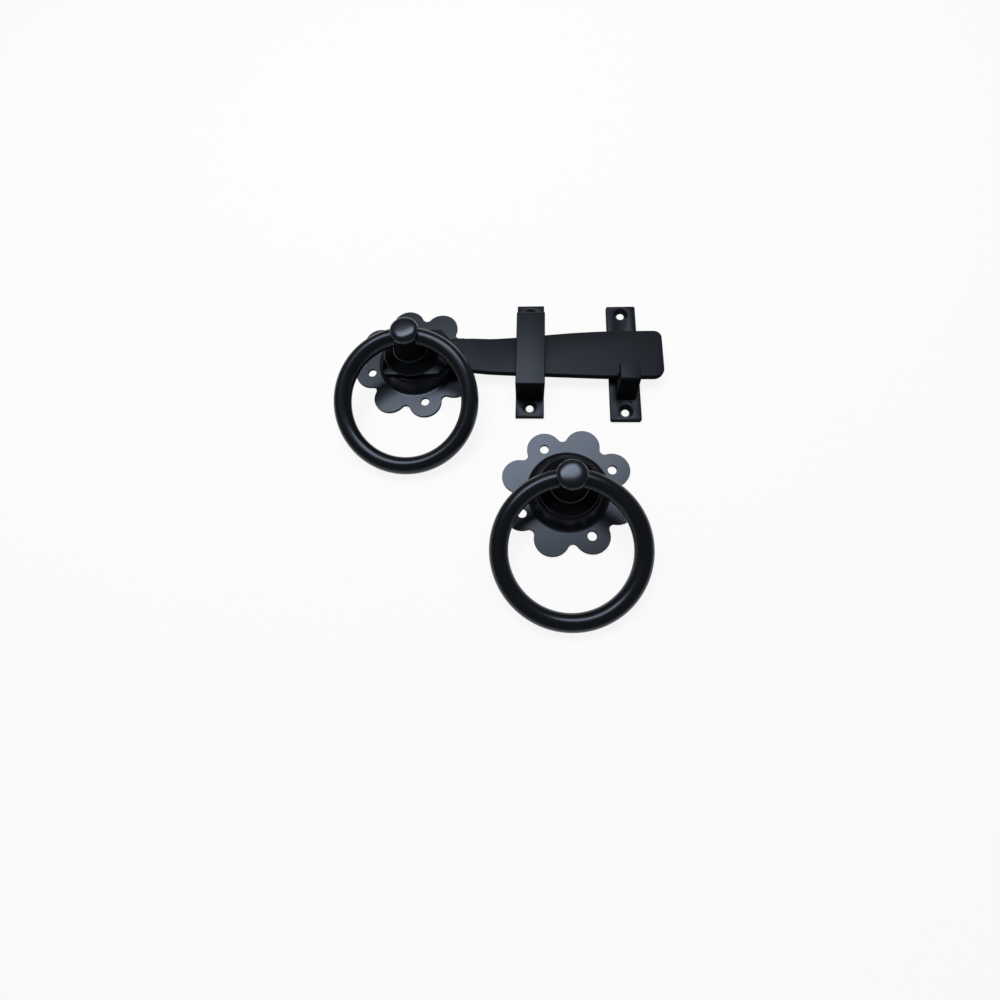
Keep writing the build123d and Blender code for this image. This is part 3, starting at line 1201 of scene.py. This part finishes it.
def join_or_cut(piece, tool, operation):
    """Joins the tool to the piece or cuts it away, and removes the tool."""
    change = piece.modifiers.new(tool.name, "BOOLEAN")
    change.operation = operation
    change.object = tool
    change.solver = "EXACT"
    settle_modifiers(piece)
    spent = tool.data
    bpy.data.objects.remove(tool)
    bpy.data.meshes.remove(spent)


def arc(centre, radius, first, last):
    """Points on an arc of a profile, from one angle to another in degrees."""
    points = []
    for step in range(ARC_STEPS + 1):
        turn = math.radians(first + (last - first) * step / ARC_STEPS)
        points.append((centre[0] + radius * math.cos(turn), centre[1] + radius * math.sin(turn)))
    return points


def boss_profile(boss, collar_z, journal_z):
    """Radii and heights of a boss: journal, groove, sloped collar, bead, neck and rounded head."""
    eye_z = collar_z + boss.eye_height
    rim = boss.collar_rim / 2
    bead = boss.bead_radius
    bead_z = collar_z + boss.collar_height
    shoulder_z = eye_z + boss.shoulder_height
    dome = eye_z + boss.crown_height - shoulder_z
    power = 2 / boss.head_squareness
    groove_top = boss.groove_height + boss.groove_width
    points = [
        (0.0, journal_z),
        (boss.journal_radius, journal_z),
        (boss.journal_radius, boss.groove_height),
        (boss.journal_radius - boss.groove_depth, boss.groove_height),
        (boss.journal_radius - boss.groove_depth, groove_top),
        (boss.journal_radius, groove_top),
        (boss.journal_radius, collar_z),
    ]
    points += arc((boss.collar_radius - rim, collar_z + rim), rim, -90, 70)
    points += arc((boss.neck_radius + bead, bead_z), bead, 20, 120)
    neck_low = bead_z + bead * NECK_FOOT
    neck_high = eye_z - boss.eye_radius / 2
    for step in range(NECK_ROWS + 1):
        share = step / NECK_ROWS
        flare = (boss.eye_radius - boss.neck_radius) * share**3
        foot = NECK_FILLET * bead * (1 - share) ** 6
        points.append((boss.neck_radius + flare + foot, neck_low + (neck_high - neck_low) * share))
    for step in range(CROWN_ROWS + 1):
        turn = math.pi / 2 * step / CROWN_ROWS
        reach = boss.eye_radius * max(math.cos(turn), 0.0) ** power if step < CROWN_ROWS else 0.0
        points.append((reach, shoulder_z + dome * math.sin(turn) ** power))
    return points


def bore_head(piece, boss, eye):
    """Bores the head for the bent ring, wider towards both ends."""
    bend = boss.bore_bend
    reach = boss.eye_radius + BORE_OVERRUN
    places = [reach * (step / BORE_ROWS - 1) for step in range(2 * BORE_ROWS + 1)]
    walls = [(boss.bore_radius + bend - math.sqrt(bend**2 - x**2), x) for x in places]
    profile = [(0.0, -reach), *walls, (0.0, reach)]
    join_or_cut(piece, turned_round("bore", profile, eye, LENGTHWISE, BORE_STEPS), "DIFFERENCE")


def dull_neck(piece, boss, collar_z):
    """Gives the collar's slope and the neck, but not the bead between them, the dull coat that
    paints shade on them.
    """
    slope_foot = collar_z + boss.collar_rim
    bead_z = collar_z + boss.collar_height
    neck_top = collar_z + boss.eye_height + boss.bore_radius / 4

    def is_neck(face):
        height = face.center.z
        beside_bead = abs(height - bead_z) > boss.bead_radius * BEAD_SHARE
        return slope_foot < height < neck_top and beside_bead

    coat_faces(piece, "coat_thin", is_neck)


class GATELATCH_OT_bosses(bpy.types.Operator):
    """Turns, bores and coats the bosses, and plates their washers and clips"""

    bl_idname = "gate_latch.bosses"
    bl_label = "Build Bosses"

    def execute(self, context):
        boss = context.scene.gate_latch_boss
        for side in ("latch", "outer"):
            low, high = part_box(side + "_boss")
            axis = Vector(((low.x + high.x) / 2, (low.y + high.y) / 2, 0))
            collar_z = high.z - boss.crown_height - boss.eye_height
            profile = boss_profile(boss, collar_z, low.z)
            piece = turned_round(side + "_boss_turned", profile, axis, UPRIGHT, BOSS_STEPS)
            key_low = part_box("bar_head")[0].z
            if collar_z > key_low:
                key_high = collar_z + boss.collar_rim / 2
                key = square_block("key", axis, boss.square_side, key_low, key_high)
                join_or_cut(piece, key, "UNION")
            socket_low, socket_top = low.z - MILLIMETRE, low.z + boss.socket_depth
            socket = square_block("socket", axis, boss.socket_side, socket_low, socket_top)
            join_or_cut(piece, socket, "DIFFERENCE")
            bore_head(piece, boss, axis + Vector((0, 0, collar_z + boss.eye_height)))
            soften_edges(piece, boss.edge_softness, finish_named("coat_on_bosses"))
            # Painted shade: the neck and the collar slope get the dull coat so that they render
            # dark as shade does.
            dull_neck(piece, boss, collar_z)
            stand_for(piece, side + "_boss")
            for small in ("_washer", "_clip"):
                paint_node(side + small, finish_named("zinc_plate_bright"))
        return {"FINISHED"}


class GATELATCH_OT_strips(bpy.types.Operator):
    """Softens and coats the bar, its head, the guide, the catch plate and its hook"""

    bl_idname = "gate_latch.strips"
    bl_label = "Finish Bar, Guide and Catch"

    def execute(self, context):
        softness = context.scene.gate_latch_ring.edge_softness
        for coat, nodes in (
            ("coat_on_bar", ("latch_bar", "catch_hook")),
            ("coat_on_strips", ("bar_head", "guide_bracket")),
            ("coat_on_catch", ("catch_plate",)),
        ):
            for node in nodes:
                piece = merged_copy(node, node + "_coated")
                soften_edges(piece, softness, finish_named(coat))
                # Painted shade: sheared sides get the dull coat so that they render dark as shade
                # does.
                coat_faces(piece, "coat_thin", is_cut_edge)
                stand_for(piece, node)
        return {"FINISHED"}


class GATELATCH_OT_stage(bpy.types.Operator):
    """Lays the floor, hangs the lamp and places the camera of the photograph"""

    bl_idname = "gate_latch.stage"
    bl_label = "Set the Stage"

    def execute(self, context):
        stage = context.scene.gate_latch_stage
        self.lay_floor(stage)
        self.hang_lamp(stage)
        self.light_room(context, stage)
        self.place_camera(context, stage)
        context.scene.view_settings.view_transform = "Standard"
        return {"FINISHED"}

    def lay_floor(self, stage):
        """A plain floor that keeps the shadow; camera, gloss and glass see it nearly white."""
        surface = bmesh.new()
        bmesh.ops.create_grid(surface, x_segments=8, y_segments=8, size=FLOOR_HALF_SIDE)
        mesh = bpy.data.meshes.new("studio_floor")
        surface.to_mesh(mesh)
        surface.free()
        for vertex in mesh.vertices:
            vertex.co.z = CAD_BOX[0][2] - FLOOR_GAP
        finish = Finish("studio_paper")
        plain = finish.node(
            "ShaderNodeBsdfPrincipled",
            sockets={
                "Base Color": (*stage.floor_colour, 1),
                "Roughness": 0.9,
                "Specular IOR Level": 0.1,
            },
        )
        rays = [
            finish.node("ShaderNodeLightPath", output=place)
            for place in ("Is Camera Ray", "Is Glossy Ray", "Is Transmission Ray")
        ]
        white = finish.node("ShaderNodeEmission", sockets={"Color": WHITE, "Strength": 1.0})
        seen = finish.maths("MINIMUM", rays[0] + rays[1] + rays[2], 1.0) * stage.floor_lift
        paper = finish.node("ShaderNodeMixShader", sockets={0: seen, 1: plain, 2: white})
        mesh.materials.append(finish.surface(paper))
        linked_object("studio_floor", mesh)

    def hang_lamp(self, stage):
        """A flat lamp that shines on the middle of the set."""
        light = bpy.data.lights.new("softbox", "AREA")
        light.shape = "RECTANGLE"
        light.size = stage.softbox_width
        light.size_y = stage.softbox_depth
        light.energy = stage.softbox_power
        lamp = linked_object("softbox", light)
        place = Vector(stage.softbox_place)
        lamp.location = place
        lamp.rotation_euler = (place - LAMP_AIM).to_track_quat("Z", "Y").to_euler()

    def light_room(self, context, stage):
        """Faint light from all round, behind which the camera sees white."""
        world = bpy.data.worlds.new("studio_room")
        world.use_nodes = True
        world.node_tree.nodes.clear()
        board = NodeBoard(world.node_tree)
        room_sockets = {"Color": (*ROOM_TINT, 1), "Strength": stage.surround}
        room = board.node("ShaderNodeBackground", sockets=room_sockets)
        white = board.node("ShaderNodeBackground", sockets={"Color": WHITE, "Strength": 1.0})
        camera_ray = board.node("ShaderNodeLightPath", output="Is Camera Ray")
        mixed = board.node("ShaderNodeMixShader", sockets={0: camera_ray, 1: room, 2: white})
        end = world.node_tree.nodes.new("ShaderNodeOutputWorld")
        world.node_tree.links.new(mixed.socket, end.inputs["Surface"])
        context.scene.world = world

    def place_camera(self, context, stage):
        view = bpy.data.cameras.new("photograph_view")
        view.sensor_fit = "HORIZONTAL"
        view.sensor_width = 36
        view.lens = stage.camera_lens
        view.clip_start = 0.01
        camera = linked_object("photograph_view", view)
        camera.location = stage.camera_place
        camera.rotation_euler = stage.camera_turn
        context.scene.camera = camera


class GATELATCH_PT_panel(bpy.types.Panel):
    """Sidebar panel that lists the sizes, colours and operators"""

    bl_idname = "GATELATCH_PT_panel"
    bl_label = "Ring Gate Latch"
    bl_space_type = "VIEW_3D"
    bl_region_type = "UI"
    bl_category = "Gate Latch"

    def draw(self, context):
        for attribute, group in SETTINGS.items():
            box = self.layout.box()
            box.label(text=group.__doc__)
            for name in group.__annotations__:
                box.prop(getattr(context.scene, attribute), name)
        for operator in OPERATORS:
            self.layout.operator(operator.bl_idname)


SETTINGS = {
    "gate_latch_coat": GateLatchCoatSettings,
    "gate_latch_rose": GateLatchRoseSettings,
    "gate_latch_boss": GateLatchBossSettings,
    "gate_latch_ring": GateLatchRingSettings,
    "gate_latch_stage": GateLatchStageSettings,
}
OPERATORS = (
    GATELATCH_OT_finishes,
    GATELATCH_OT_roses,
    GATELATCH_OT_rings,
    GATELATCH_OT_bosses,
    GATELATCH_OT_strips,
    GATELATCH_OT_stage,
)


def register():
    for group in (*SETTINGS.values(), *OPERATORS, GATELATCH_PT_panel):
        bpy.utils.register_class(group)
    for attribute, group in SETTINGS.items():
        setattr(bpy.types.Scene, attribute, bpy.props.PointerProperty(type=group))


def unregister():
    for attribute in SETTINGS:
        delattr(bpy.types.Scene, attribute)
    for group in reversed((*SETTINGS.values(), *OPERATORS, GATELATCH_PT_panel)):
        bpy.utils.unregister_class(group)


def main():
    register()
    for operator in OPERATORS:
        getattr(bpy.ops.gate_latch, operator.bl_idname.split(".")[1])()


if __name__ == "__main__":
    main()
